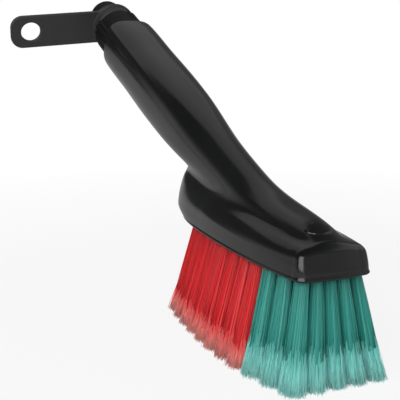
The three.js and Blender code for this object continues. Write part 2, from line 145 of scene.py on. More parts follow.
# Collar on the end of the handle. Distances are out from the shoulder
COLLAR = (8.4, 33)
COLLAR_RADIUS = 17.8
COLLAR_ROUNDING = 1.3
COLLAR_FLUTES = 22
FLUTE_DEPTH = 1.1
FLUTE_SHARPNESS = 3
SMOOTH_ZONE = math.radians(-20)
SMOOTH_HALF_ANGLE = math.radians(38)
SMOOTH_EDGE = 0.08
SMOOTH_INSET = 1.5
COLLAR_GRID = ([(-19, 19, 0.4)], [(-19, 19, 0.4)], [(7.5, 34, 0.5)])

# Tip of the stub
TIP_START = 45.6
TIP_END = 66
TIP_RADIUS = 12.4
TIP_ROUNDING = 4
TIP_START_ROUNDING = 0.7
TIP_GROOVE_FROM_START = 5
TIP_GROOVE_RADIUS = 0.6
TIP_CUT_ROUNDING = 0.3
STUD_SOCKET_RADIUS = 5.3
STUD_SOCKET_END = 58.3
TIP_GRID = ([(-13.5, 13.5, 0.4)], [(-13.5, 13.5, 0.4)], [(44.5, 67.5, 0.4)])

# Hanging strap
STRAP = (42, 45)
STRAP_ROUNDING = 0.7
HUB = (33.6, 43.5)
HUB_RADIUS = 15.9
HUB_ROUNDING = 1.2
HUB_FILLET = 1
EYE_RADIUS = 17
EYE_FILLET = 3
EYE_BORE_RADIUS = 8.35
EYE_BORE_ROUNDING = 0.5
EYE_TO_HOLE = 63.8
HANG_HOLE_RADIUS = 7.2
STRAP_HALF_WIDTH = 12.3
STRAP_TIP_LENGTH = 14.8
STRAP_TIP_CORNER = 9
STRAP_DROOP = math.radians(4.4)
STRAP_GRID = ([(-18.5, 18.5, 0.5)], [(-80, 18.5, 0.6)], [(32.8, 46, 0.35)])

# Bristle plates
GAP = 0.3
PLATE_RECESS = 0.6
PLATE_THICKNESS = 8
PLATE_WALL = 2.2
PLATE_FRONT_X = 60.4
PLATE_REAR_X = -61.5
PLATE_BEVEL = 0.25
PLATE_BEVEL_STEPS = 2
PLATE_SIDE_STEPS = 40
HOLE_CLEARANCE = 0.25
HOLE_SIDES = 24

# Tufts: their places, how they flare, and half their length and width from root to tip
TUFT_COLUMNS = 11
GREEN_COLUMNS = 3
REAR_COLUMNS = 2
TUFTS_IN_COLUMN = 5
TUFTS_IN_REAR_COLUMN = 4
TUFT_PITCH = 11.4
TUFT_EDGE_MARGIN = 5
NOSE_EDGE_MARGIN = 6.4
MARGIN_GROWS_X = (30, 55)
FLARE_LENGTHWISE = 1.13
FLARE_SIDEWAYS = 1.72
FLARE_SIDEWAYS_AT_NOSE = 1.6
FLARE_EASES_X = (0, PLATE_FRONT_X)
TUFT_SINK = 2
TUFT_TOP = RIM_HEIGHT + PLATE_RECESS + TUFT_SINK
TUFT_ROOT_RADII = np.array([3.2, 2.6])
TUFT_NECK_RADII = np.array([4.7, 2.5])
TUFT_TIP_RADII = np.array([6.6, 5.7])
NECK_SHARE = 0.09

# Packed inside of a tuft. Its rings are shares of the way to the split, its end a share of the way to the tip
CORE_SHARE = 0.88
CORE_SIDES = 18
CORE_RINGS = (0, 0.12, 0.5, 1)
CORE_END = 0.94
CORE_SHADE = 0.4

# Filaments, and the fine hairs that each one splits into. A hair starts a share of the length above the
# split, and its root is set aside by a share of the filament's radius
FILAMENTS_PER_TUFT = 120
FILAMENT_RADIUS = 0.22
FILAMENT_CROWDING = 0.35
FILAMENT_JITTER = 0.05
FILAMENT_BOW = 0.2
CRIMP = 0.1
CRIMP_WAVES = (2, 4)
STEM_RINGS = (0, 0.12, 0.4, 0.7, 1)
STEM_THINNING = (1, 1, 1, 1, 0.8)
GREEN_SPLIT_HEIGHT = 17
GREEN_SPLIT_UNEVEN = 4
RED_SPLIT_HEIGHT = 11.5
RED_SPLIT_UNEVEN = 3
HAIRS_PER_FILAMENT = 5
HAIR_RADIUS = 0.12
HAIR_THINNING = (1, 0.9)
HAIR_OVERLAP = 0.015
HAIR_ROOT_OFFSET = 0.4
HAIR_SHORTFALL = 0.35
HAIR_SPREAD = 1.3
HAIR_SPREAD_SHARES = (0.2, 1.4)
HAIR_SHADE_VARIES = 0.2
TUBE_SIDES = 3

# Table of distances from the block's outline. The last value keeps a place just inside its last cell
TABLE_STEP = 0.2
TABLE_MARGIN = 10
TABLE_MARGIN_BEHIND = 12
LAST_CELL = 1.001

# How fields are skinned. The longest move is in grid steps, and the last three keep divisions away from zero
SLOPE_REACH = 0.12
SETTLE_ROUNDS = 4
LONGEST_MOVE = 0.5
LEAST_SLOPE_SQUARED = 0.1
LEAST_SLOPE = 1e-6
TINY = 1e-9

# Random draws. Angles are drawn from about a full turn
GOLDEN_ANGLE = math.pi * (3 - math.sqrt(5))
ANY_ANGLE = (0, 6.3)
SEED = 1788
random = np.random.default_rng(SEED)


def between(start, end, share):
    return start + (end - start) * share


def ease(low, high, value):
    """Share of the way from low to high, with a smooth start and end."""
    share = np.clip((value - low) / (high - low), 0, 1)
    return share * share * (3 - 2 * share)


def circle(sides):
    angle = np.arange(sides) * 2 * math.pi / sides
    return np.stack([np.cos(angle), np.sin(angle)], 1)


def smooth_union(a, b, size):
    """The space inside either field, with a fillet between them."""
    near = np.maximum(size - np.abs(a - b), 0) / size
    return np.minimum(a, b) - near ** 3 * size / 6


def rounded_overlap(a, b, radius):
    """The space inside both fields, with the edge between them rounded."""
    a, b = a + radius, b + radius
    outside = np.sqrt(np.maximum(a, 0) ** 2 + np.maximum(b, 0) ** 2)
    return np.minimum(np.maximum(a, b), 0) + outside - radius


def layer(z, low, high):
    """The space between two heights."""
    return np.abs(z - (low + high) / 2) - (high - low) / 2


def surface_of(field, lines):
    """Skins a field on a grid: a point in each cell and a face round each edge that the surface crosses."""
    xs, ys, zs = lines
    shape = tuple(len(line) for line in lines)
    values = np.broadcast_to(field(xs[:, None, None], ys[None, :, None], zs[None, None, :]), shape)
    inside = values < 0
    corners = [np.array((i, j, k)) for i in (0, 1) for j in (0, 1) for k in (0, 1)]
    count = np.zeros(tuple(n - 1 for n in shape), np.int8)
    for i, j, k in corners:
        count += inside[i:shape[0] - 1 + i, j:shape[1] - 1 + j, k:shape[2] - 1 + k]
    cells = np.argwhere((count > 0) & (count < len(corners)))
    number = np.full(count.shape, -1)
    number[tuple(cells.T)] = np.arange(len(cells))

    def corner_of(step):
        at = cells + step
        return values[tuple(at.T)], np.stack([lines[axis][at[:, axis]] for axis in range(3)], 1)

    total, hits = np.zeros((len(cells), 3)), np.zeros(len(cells))
    for start in corners:
        for axis in range(3):
            if start[axis]:
                continue
            end = start.copy()
            end[axis] = 1
            (low, low_place), (high, high_place) = corner_of(start), corner_of(end)
            crossed = (low < 0) != (high < 0)
            share = np.where(crossed, low / np.where(crossed, low - high, 1), 0)
            total += crossed[:, None] * (low_place + share[:, None] * (high_place - low_place))
            hits += crossed
    points = total / hits[:, None]

    faces = []
    for axis in range(3):
        u, v = (axis + 1) % 3, (axis + 2) % 3
        middle = [slice(1, -1)] * 3
        low_end, high_end = list(middle), list(middle)
        low_end[axis], high_end[axis] = slice(0, -1), slice(1, None)
        below, above = inside[tuple(low_end)], inside[tuple(high_end)]
        edges = np.argwhere(below != above)
        ring = []
        for du, dv in ((0, 0), (1, 0), (1, 1), (0, 1)):
            cell = edges.copy()
            cell[:, u] += du
            cell[:, v] += dv
            ring.append(number[tuple(cell.T)])
        ring = np.stack(ring, 1)
        facing_down = ~below[tuple(edges.T)]
        ring[facing_down] = ring[facing_down][:, ::-1]
        faces.append(ring)
    return points, np.concatenate(faces)


def slope_of(field, points):
    slope = np.empty_like(points)
    for axis in range(3):
        step = np.zeros(3)
        step[axis] = SLOPE_REACH
        slope[:, axis] = (field(*(points + step).T) - field(*(points - step).T)) / (2 * SLOPE_REACH)
    return slope


def new_mesh(name, points, faces, normals=None):
    mesh = bpy.data.meshes.new(name)
    mesh.from_pydata((points * MM).tolist(), [], faces.tolist())
    mesh.shade_smooth()
    if normals is not None:
        mesh.normals_split_custom_set_from_vertices(normals.tolist())
    piece = bpy.data.objects.new(name, mesh)
    bpy.context.scene.collection.objects.link(piece)
    return piece


def grid_line(stretches):
    """Grid places from (low, high, step) stretches that follow each other."""
    places = [np.arange(low, high - step / 2, step) for low, high, step in stretches]
    return np.concatenate([*places, [stretches[-1][1]]])


def skinned(name, field, grid, turn=None):
    """A piece whose surface is where the field is zero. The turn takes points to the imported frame."""
    lines = [grid_line(stretches) for stretches in grid]
    points, faces = surface_of(field, lines)
    most = LONGEST_MOVE * min(np.diff(line).max() for line in lines)
    for _ in range(SETTLE_ROUNDS):
        slope = slope_of(field, points)
        steepness = np.maximum((slope ** 2).sum(1), LEAST_SLOPE_SQUARED)
        move = -(field(*points.T) / steepness)[:, None] * slope
        length = np.linalg.norm(move, axis=1)
        points = points + move * (most / np.maximum(length, most))[:, None]
    normals = slope_of(field, points)
    normals /= np.maximum(np.linalg.norm(normals, axis=1), TINY)[:, None]
    if turn is not None:
        points, normals = turn(points, True), turn(normals, False)
    return new_mesh(name, points, faces, normals)


# Plan of the rim: one half of its outline, from the middle of the nose to the middle of the stern
def bezier(points, steps):
    points = np.repeat(np.array(points, float)[:, None], steps + 1, axis=1)
    share = np.linspace(0, 1, steps + 1)[:, None]
    while len(points) > 1:
        points = points[:-1] + share * (points[1:] - points[:-1])
    return points[0]


corner_x = NOSE_X - NOSE_BULGE
nose_middle = (NOSE_X, 0)
corner_start = (corner_x, NOSE_HALF_WIDTH - NOSE_CORNER)
corner_end = (corner_x - NOSE_CORNER, NOSE_HALF_WIDTH)
belly_front = (BELLY_FRONT_X, BELLY_HALF_WIDTH)
belly_rear = (BELLY_REAR_X, BELLY_HALF_WIDTH)
stern_end = (STERN_RIM_X, STERN_END_HALF_WIDTH)
stern_middle = (STERN_RIM_X, 0)
half_outline = np.concatenate([
    bezier([nose_middle, (NOSE_X, corner_start[1] / 2), corner_start], NOSE_STEPS),
    bezier([corner_start, (corner_x, NOSE_HALF_WIDTH), corner_end], NOSE_STEPS)[1:],
    bezier([corner_end, belly_front, belly_rear, STERN_START], SIDE_STEPS)[1:],
    bezier([STERN_START, STERN_BEND, stern_end, stern_middle], STERN_STEPS)[1:],
])


def rim_half_width(x):
    return np.interp(x, half_outline[::-1, 0], half_outline[::-1, 1])


# Distance from the outline, kept on a fine grid so that it can be read off quickly
table_x = np.arange(STERN_RIM_X - TABLE_MARGIN_BEHIND, NOSE_X + TABLE_MARGIN, TABLE_STEP)
table_y = np.arange(0, BELLY_HALF_WIDTH + TABLE_MARGIN, TABLE_STEP)
plan_table = np.empty((len(table_x), len(table_y)))
for row, x in enumerate(table_x):
    place = np.stack([np.full_like(table_y, x), table_y], 1)[:, None, :]
    start, along = half_outline[None, :-1], np.diff(half_outline, axis=0)[None]
    share = np.clip(((place - start) * along).sum(2) / (along ** 2).sum(2), 0, 1)
    distance = np.linalg.norm(place - start - share[..., None] * along, axis=2).min(1)
    within = (table_y < rim_half_width(x)) & (STERN_RIM_X < x < NOSE_X)
    plan_table[row] = np.where(within, -distance, distance)


def plan_distance(x, y):
    """Distance outside the rim's outline in plan, negative inside."""
    u = np.clip((x - table_x[0]) / TABLE_STEP, 0, len(table_x) - LAST_CELL)
    v = np.clip(np.abs(y) / TABLE_STEP, 0, len(table_y) - LAST_CELL)
    i, j = u.astype(int), v.astype(int)
    u, v = u - i, v - j
    near = plan_table[i, j] * (1 - v) + plan_table[i, j + 1] * v
    far = plan_table[i + 1, j] * (1 - v) + plan_table[i + 1, j + 1] * v
    return near * (1 - u) + far * u


def inner_half_width(x):
    """Half width of the pocket for the bristle plates."""
    row = plan_table[int(round((x - table_x[0]) / TABLE_STEP))]
    return np.interp(-PLATE_WALL, row, table_y)


# Centre line, half width and half height of the handle and spine against x
handle_out, handle_half = np.array(HANDLE_HALVES).T
spine_x, spine_rise, spine_width, spine_height = np.array(SPINE).T
section_x = np.concatenate([SHOULDER[0] + OUTWARDS[0] * handle_out, spine_x])
section_rise = np.concatenate([SHOULDER[2] - RIM_HEIGHT + OUTWARDS[2] * handle_out, spine_rise])
section_width = np.concatenate([handle_half, spine_width])
section_height = np.concatenate([handle_half, spine_height])
line_x = np.arange(section_x[0], section_x[-1], LINE_STEP)


def through(values):
    """A smooth curve through the sections, read along the line."""
    slope = np.gradient(values, section_x)
    after = np.clip(np.searchsorted(section_x, line_x, side="right"), 1, len(section_x) - 1)
    length = section_x[after] - section_x[after - 1]
    share = (line_x - section_x[after - 1]) / length
    start, end = values[after - 1], values[after]
    first, last = slope[after - 1] * length, slope[after] * length
    return ((2 * share ** 3 - 3 * share ** 2 + 1) * start + (share ** 3 - 2 * share ** 2 + share) * first
            + (3 * share ** 2 - 2 * share ** 3) * end + (share ** 3 - share ** 2) * last)


def softened(values):
    """The same values, each averaged with its neighbours along the line by a bell curve."""
    reach = int(LINE_SOFTENING_REACH / LINE_STEP)
    weights = np.exp(-0.5 * (np.arange(-reach, reach + 1) * LINE_STEP / LINE_SOFTENING) ** 2)
    before, after = 2 * values[0] - values[reach:0:-1], 2 * values[-1] - values[-2:-reach - 2:-1]
    return np.convolve(np.concatenate([before, values, after]), weights / weights.sum(), "valid")


def softened_ahead(values):
    """The values as they are at the end of the handle, and softened ahead of it."""
    return between(values, softened(values), ease(*SOFTENING_STARTS_X, line_x))


line_rise = softened(through(section_rise))
line_width = softened_ahead(through(section_width))
line_height = softened_ahead(through(section_height))
line_fall = np.gradient(line_rise, line_x)
line_ahead = 1 / np.sqrt(1 + line_fall ** 2)
line_down = line_fall * line_ahead


def handle_field(x, y, z):
    """Handle and spine: rounded sections square to a bent line, with a rounded end in the nose."""
    rise = z - RIM_HEIGHT
    # The nearest place on the line, for every x and height
    at = np.clip(x + 0 * rise, line_x[0], line_x[-1])
    for _ in range(NEAREST_ROUNDS):
        ahead, down = np.interp(at, line_x, line_ahead), np.interp(at, line_x, line_down)
        past = (x - at) * ahead + (rise - np.interp(at, line_x, line_rise)) * down
        at = np.clip(at + past * ahead, line_x[0], line_x[-1])
    ahead, down = np.interp(at, line_x, line_ahead), np.interp(at, line_x, line_down)
    lift = rise - np.interp(at, line_x, line_rise)
    past = np.maximum((x - at) * ahead + lift * down, 0)
    across = lift * ahead - (x - at) * down
    width, height = np.interp(at, line_x, line_width), np.interp(at, line_x, line_height)
    waist = ease(*WAIST_STARTS_X, at) * ease(*WAIST_ENDS_X, at)
    power = between(HANDLE_SQUARENESS, WAIST_SQUARENESS, waist)
    reach, steep = 0, 0
    for offset, half in ((np.abs(y), width), (np.abs(across), height), (past, SPINE_NOSE_LENGTH)):
        reach = reach + (offset / half) ** power
        steep = steep + ((offset / half) ** (power - 1) / half) ** 2
    share = np.maximum(reach, TINY) ** (1 / power)
    return (share - 1) * share ** (power - 1) / np.maximum(np.sqrt(steep), LEAST_SLOPE)


def out_from_shoulder(x, z):
    return (x - SHOULDER[0]) * OUTWARDS[0] + (z - SHOULDER[2]) * OUTWARDS[2]


def astern(x):
    """Share of the way from the nose to the stern."""
    return np.clip((NOSE_X - x) / (NOSE_X - STERN_RIM_X), 0, None)


def upright_x(x, rise):
    """Where a place would be if the nose didn't lean and the stern didn't overhang."""
    lean = NOSE_LEAN * rise / NOSE_FACE_HEIGHT * np.clip(x / NOSE_X, 0, LEAN_LIMIT) ** LEAN_POWER
    below_overhang = 1 - np.clip((rise - OVERHANG_START) / OVERHANG_HEIGHT, 0, 1)
    overhang = STERN_OVERHANG * (1 - below_overhang ** 2)
    stern = STERN_START[0] - STERN_RIM_X
    drawn_up = np.minimum(x - STERN_START[0], 0) * overhang / (stern + overhang)
    return x + lean - drawn_up


def block_field(x, y, z):
    """Block with a lip round its rim, a shoulder that rises inwards and a brow that falls to the nose."""
    rise = z - RIM_HEIGHT
    draft = between(STERN_DRAFT, NOSE_DRAFT, ease(*DRAFT_CHANGES_X, x)) * ease(*DRAFT_HEIGHTS, rise)
    lip = LIP_REACH * np.exp(-((rise - LIP_HEIGHT) / LIP_THICKNESS) ** 2)
    upright = upright_x(x, rise)
    wall = plan_distance(upright, y) + draft - lip
    height = between(NOSE_HEIGHT, STERN_HEIGHT, astern(x) ** HEIGHT_POWER)
    slope = between(NOSE_SLOPE, STERN_SLOPE, astern(x) ** SLOPE_POWER)
    from_wall = -plan_distance(np.minimum(upright, SHOULDER_FRONT_X), y) - draft
    inset = smooth_union(from_wall, SHOULDER_REACH, SHOULDER_FADE)
    shoulder = (rise - height - slope * inset) / np.sqrt(1 + slope ** 2)
    brow = (rise - BROW_HEIGHT - BROW_SLOPE * (NOSE_X - x)) / math.sqrt(1 + BROW_SLOPE ** 2)
    top = rounded_overlap(shoulder, brow, BROW_ROUNDING)
    edge_radius = between(NOSE_EDGE_RADIUS, STERN_EDGE_RADIUS, ease(*EDGE_CHANGES_X, x))
    return rounded_overlap(rounded_overlap(wall, top, edge_radius), -rise, RIM_ROUNDING)


def pad_height(x, y, z):
    """Height of the oval pad on the end of the spine, which stays bare."""
    place = np.hypot((x - PAD_X) / PAD_HALF_LENGTH, y / PAD_HALF_WIDTH)
    return PAD_HEIGHT * ease(*PAD_EDGE, place) * ease(*PAD_LEVELS, z)


def pocket_field(x, y, z):
    """Room for the bristle plates, with a gap round them."""
    rise = z - RIM_HEIGHT
    walls = plan_distance(x, y) + PLATE_WALL - GAP
    ends = np.maximum(x - PLATE_FRONT_X - GAP, PLATE_REAR_X - GAP - x)
    return np.maximum(np.maximum(walls, ends), rise - PLATE_RECESS - PLATE_THICKNESS - GAP)


def socket_field(x, y, z):
    """Bore in the end of the handle."""
    lift = (x - SHOULDER[0]) * UPWARDS[0] + (z - SHOULDER[2]) * UPWARDS[2]
    return np.maximum(np.sqrt(lift ** 2 + y ** 2) - SOCKET_RADIUS, -SOCKET_DEPTH - out_from_shoulder(x, z))


def body_field(x, y, z):
    """Block and handle run together, with the pad, less the pocket and the socket."""
    past_end = out_from_shoulder(x, z) - HANDLE_END
    handle = rounded_overlap(handle_field(x, y, z), past_end, HANDLE_END_ROUNDING)
    fillet = between(NOSE_FILLET, STERN_FILLET, ease(*FILLET_CHANGES_X, x))
    body = smooth_union(block_field(x, y, z), handle, fillet)
    body = body - pad_height(x, y, z)
    for cut in (pocket_field, socket_field):
        body = rounded_overlap(body, -cut(x, y, z), CUT_ROUNDING)
    return body


# Pieces at the end of the handle are drawn about its axis: X up, Y sideways, Z out from the shoulder
def at_handle_end(points, placed):
    turned = points[:, :1] * UPWARDS + points[:, 1:2] * np.array([0, 1, 0]) + points[:, 2:] * OUTWARDS
    return turned + SHOULDER if placed else turned


def collar_field(x, y, z):
    """Fluted ring with two smooth zones opposite each other."""
    around = np.arctan2(y, x) - SMOOTH_ZONE
    wave = 0.5 + 0.5 * np.cos(COLLAR_FLUTES * around)
    from_zone = np.abs((around + math.pi / 2) % math.pi - math.pi / 2)
    fluted = ease(SMOOTH_HALF_ANGLE, SMOOTH_HALF_ANGLE + SMOOTH_EDGE, from_zone)
    inwards = between(SMOOTH_INSET, FLUTE_DEPTH * wave ** FLUTE_SHARPNESS, fluted)
    outside = rounded_overlap(np.hypot(x, y) - COLLAR_RADIUS + inwards, layer(z, *COLLAR), COLLAR_ROUNDING)
    bore = np.hypot(x, y) - SOCKET_RADIUS
    return rounded_overlap(outside, -bore, CUT_ROUNDING)


def tip_field(x, y, z):
    """Cap with a rounded end, a fine groove round it and a bore."""
    dome = rounded_overlap(np.hypot(x, y) - TIP_RADIUS, z - TIP_END, TIP_ROUNDING)
    cap = rounded_overlap(dome, TIP_START - z, TIP_START_ROUNDING)
    from_groove = np.hypot(np.hypot(x, y) - TIP_RADIUS, z - TIP_START - TIP_GROOVE_FROM_START)
    cap = rounded_overlap(cap, TIP_GROOVE_RADIUS - from_groove, TIP_CUT_ROUNDING)
    bore = np.maximum(np.hypot(x, y) - STUD_SOCKET_RADIUS, z - STUD_SOCKET_END)
    return rounded_overlap(cap, -bore, TIP_CUT_ROUNDING)


def strap_field(x, y, z):
    """Flat strip with a round hole, and an eye with a hub behind it."""
    end = EYE_TO_HOLE + STRAP_TIP_LENGTH
    strip = rounded_overlap(np.abs(x) - STRAP_HALF_WIDTH, layer(y, -end, 0), STRAP_TIP_CORNER)
    outline = smooth_union(strip, np.hypot(x, y) - EYE_RADIUS, EYE_FILLET)
    hole = np.hypot(x, y + EYE_TO_HOLE) - HANG_HOLE_RADIUS
    outline = np.maximum(outline, -hole)
    strap_plate = rounded_overlap(outline, layer(z, *STRAP), STRAP_ROUNDING)
    hub = rounded_overlap(np.hypot(x, y) - HUB_RADIUS, layer(z, *HUB), HUB_ROUNDING)
    bore = np.hypot(x, y) - EYE_BORE_RADIUS
    return rounded_overlap(smooth_union(strap_plate, hub, HUB_FILLET), -bore, EYE_BORE_ROUNDING)


def drooping(points, placed):
    """The strap at rest, turned a little below level."""
    cosine, sine = math.cos(STRAP_DROOP), -math.sin(STRAP_DROOP)
    x = points[:, 0] * cosine - points[:, 1] * sine
    y = points[:, 0] * sine + points[:, 1] * cosine
    return at_handle_end(np.stack([x, y, points[:, 2]], 1), placed)


body = skinned("moulded_body", body_field, BODY_GRID)
collar = skinned("fluted_collar", collar_field, COLLAR_GRID, at_handle_end)
tip = skinned("stub_tip", tip_field, TIP_GRID, at_handle_end)
strap = skinned("hanging_strap", strap_field, STRAP_GRID, drooping)


# Bristles
def tuft_places(columns):
    """Where the tufts of some columns leave the plate."""
    places = []
    for column in columns:
        x = ((TUFT_COLUMNS - 1) / 2 - column) * TUFT_PITCH
        at_rear = column >= TUFT_COLUMNS - REAR_COLUMNS
        count = TUFTS_IN_REAR_COLUMN if at_rear else TUFTS_IN_COLUMN
        reach = rim_half_width(x) - between(TUFT_EDGE_MARGIN, NOSE_EDGE_MARGIN, ease(*MARGIN_GROWS_X, x))
        places += [(x, reach * (2 * row / (count - 1) - 1)) for row in range(count)]
    return places


def tip_place(x, y):
    """Where the middle of a tuft ends, in the plane of the tips."""
    sideways = between(FLARE_SIDEWAYS, FLARE_SIDEWAYS_AT_NOSE, ease(*FLARE_EASES_X, x))
    return np.array([x * FLARE_LENGTHWISE, y * sideways])


def tuft_radii(share):
    """Half length and half width of a tuft at a share of the way from its hole to its tip."""
    share = np.asarray(share)[..., None]
    spread = between(TUFT_NECK_RADII, TUFT_TIP_RADII, share)
    return between(TUFT_ROOT_RADII, spread, ease(0, NECK_SHARE, share))


def tube_faces(rings, sides):
    """Faces of one closed tube whose rings follow each other downwards."""
    faces = []
    for ring in range(rings - 1):
        for side in range(sides):
            a, b = ring * sides + side, ring * sides + (side + 1) % sides
            faces += [(a, a + sides, b), (b, a + sides, b + sides)]
    last = (rings - 1) * sides
    for side in range(1, sides - 1):
        faces += [(0, side, side + 1), (last, last + side + 1, last + side)]
    return np.array(faces)


def tubes(lines, radii, turns):
    """Closed tubes round lines of points that run downwards: (lines, rings, 3)."""
    count, rings, _ = lines.shape
    angle = turns[:, None] + np.arange(TUBE_SIDES) * 2 * math.pi / TUBE_SIDES
    spread = np.stack([np.cos(angle), np.sin(angle), np.zeros_like(angle)], 2)
    points = lines[:, :, None, :] + spread[:, None] * np.array(radii)[None, :, None, None]
    first = TUBE_SIDES * rings * np.arange(count)[:, None, None]
    return points.reshape(-1, 3), (tube_faces(rings, TUBE_SIDES)[None] + first).reshape(-1, 3)


def tuft_core(x, y, split_share):
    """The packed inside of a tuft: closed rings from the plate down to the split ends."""
    shares = np.append(np.array(CORE_RINGS) * split_share, CORE_END)
    root, end = np.array([x, y]), tip_place(x, y)
    rings = []
    for share in shares:
        flat = between(root, end, share) + circle(CORE_SIDES) * tuft_radii(share) * CORE_SHARE
        rings.append(np.column_stack([flat, np.full(CORE_SIDES, TUFT_TOP * (1 - share))]))
    return np.concatenate(rings), tube_faces(len(rings), CORE_SIDES), np.repeat(shares, CORE_SIDES)


def filament_places(places):
    """Root, tip, place across its tuft and unevenness of each filament."""
    roots, tips, offsets, jitters = [], [], [], []
    for x, y in places:
        order = np.arange(FILAMENTS_PER_TUFT) + 0.5
        angle = order * GOLDEN_ANGLE + random.uniform(*ANY_ANGLE)
        radius = (order / FILAMENTS_PER_TUFT) ** FILAMENT_CROWDING
        offset = np.stack([radius * np.cos(angle), radius * np.sin(angle)], 1)
        offsets.append(offset)
        jitters.append(random.normal(0, FILAMENT_JITTER, offset.shape))
        roots.append(np.full_like(offset, (x, y)))
        tips.append(np.full_like(offset, tip_place(x, y)))
    return [np.concatenate(rows) for rows in (roots, tips, offsets, jitters)]


def filaments(name, columns, split_height, split_uneven):
    """The filaments of some columns of tufts: a stem from the plate to its split, then hairs to the tips."""
    parts = []
    places = tuft_places(columns)
    for x, y in places:
        points, faces, shares = tuft_core(x, y, 1 - split_height / TUFT_TOP)
        parts.append((points, faces, shares, np.full(len(points), CORE_SHADE), shares == CORE_END))
    roots, tips, offsets, jitters = filament_places(places)
    count = len(roots)
    shade = random.uniform(0, 1, count)
    splits = 1 - (split_height + random.uniform(-split_uneven, split_uneven, count)) / TUFT_TOP
    bow = random.normal(0, FILAMENT_BOW, (count, 2))
    phase = random.uniform(*ANY_ANGLE, count)
    waves = random.uniform(*CRIMP_WAVES, count)

    def place(share):
        """Points on the filaments at a share of the way from root to tip."""
        share = np.broadcast_to(share, (count,))
        crimp = CRIMP * np.sin(phase + waves * 2 * math.pi * share) * share
        flat = between(roots, tips, share[:, None]) + bow * np.sin(math.pi * share)[:, None]
        flat = flat + (offsets + jitters * share[:, None]) * tuft_radii(share)
        flat = flat + crimp[:, None] * np.stack([np.cos(phase), np.sin(phase)], 1)
        return np.concatenate([flat, (TUFT_TOP * (1 - share))[:, None]], 1)

    def add_tubes(lines, radii, turns, shares, shades, feathered):
        points, faces = tubes(lines, radii, turns)
        along = np.repeat(np.stack(shares, 1), TUBE_SIDES, axis=1).ravel()
        each_shade = np.repeat(shades, TUBE_SIDES * len(shares))
        parts.append((points, faces, along, each_shade, np.full(len(points), feathered)))

    shares = [fraction * splits for fraction in STEM_RINGS]
    stems = np.stack([place(share) for share in shares], 1)
    turns = random.uniform(*ANY_ANGLE, count)
    add_tubes(stems, FILAMENT_RADIUS * np.array(STEM_THINNING), turns, shares, shade, 0)
    for hair in range(HAIRS_PER_FILAMENT):
        turns = phase + hair * 2 * math.pi / HAIRS_PER_FILAMENT
        aside = np.stack([np.cos(turns), np.sin(turns), np.zeros(count)], 1)
        start = splits - HAIR_OVERLAP
        end = 1 - np.abs(random.normal(0, HAIR_SHORTFALL, count)) / TUFT_TOP
        high = place(start) + aside * HAIR_ROOT_OFFSET * FILAMENT_RADIUS
        low = place(end) + aside * random.uniform(*HAIR_SPREAD_SHARES, (count, 1)) * HAIR_SPREAD
        hair_shade = np.clip(shade + random.normal(0, HAIR_SHADE_VARIES, count), 0, 1)
        hair_radii = HAIR_RADIUS * np.array(HAIR_THINNING)
        add_tubes(np.stack([high, low], 1), hair_radii, turns, [start, end], hair_shade, 1)

    first = np.cumsum([0] + [len(part[0]) for part in parts])
    all_faces = np.concatenate([part[1] + start for part, start in zip(parts, first)])
    piece = new_mesh(name, np.concatenate([part[0] for part in parts]), all_faces)
    for column, label in ((2, "along"), (3, "shade"), (4, "feathered")):
        attribute = piece.data.attributes.new(label, "FLOAT", "POINT")
        values = np.concatenate([part[column] for part in parts])
        attribute.data.foreach_set("value", values.astype(np.float32))
    return piece


def plate(name, columns, front_x, rear_x):
    """Slice of the block that holds some columns of tufts, with a hole for each tuft."""
    shape = bpy.data.curves.new(name, "CURVE")
    shape.dimensions = "2D"
    shape.fill_mode = "BOTH"
    shape.extrude = (PLATE_THICKNESS / 2 - PLATE_BEVEL) * MM
    shape.bevel_depth = PLATE_BEVEL * MM
    shape.bevel_resolution = PLATE_BEVEL_STEPS
    steps = np.linspace(front_x, rear_x, PLATE_SIDE_STEPS)
    side = np.stack([steps, [inner_half_width(x) for x in steps]], 1)
    outline = np.concatenate([side, side[::-1] * (1, -1)])
    hole = circle(HOLE_SIDES) * (TUFT_ROOT_RADII + HOLE_CLEARANCE)
    for loop in [outline] + [np.array(place) + hole for place in tuft_places(columns)]:
        spline = shape.splines.new("POLY")
        spline.points.add(len(loop) - 1)
        spline.use_cyclic_u = True
        for point, (x, y) in zip(spline.points, loop):
            point.co = (x * MM, y * MM, 0, 1)
    drawn = bpy.data.objects.new(name + "_drawn", shape)
    bpy.context.scene.collection.objects.link(drawn)
    bpy.context.view_layer.update()
    mesh = bpy.data.meshes.new_from_object(drawn.evaluated_get(bpy.context.evaluated_depsgraph_get()))
    bpy.data.objects.remove(drawn)
    for vertex in mesh.vertices:
        vertex.co.z += (RIM_HEIGHT + PLATE_RECESS + PLATE_THICKNESS / 2) * MM
    piece = bpy.data.objects.new(name, mesh)
    bpy.context.scene.collection.objects.link(piece)
    return piece


green_columns = range(GREEN_COLUMNS)
red_columns = range(GREEN_COLUMNS, TUFT_COLUMNS)
border_x = (TUFT_COLUMNS / 2 - GREEN_COLUMNS) * TUFT_PITCH
green_plate = plate("green_tuft_plate", green_columns, PLATE_FRONT_X, border_x + GAP / 2)
red_plate = plate("red_tuft_plate", red_columns, border_x - GAP / 2, PLATE_REAR_X)
green_filaments = filaments("green_filaments", green_columns, GREEN_SPLIT_HEIGHT, GREEN_SPLIT_UNEVEN)
red_filaments = filaments("red_filaments", red_columns, RED_SPLIT_HEIGHT, RED_SPLIT_UNEVEN)


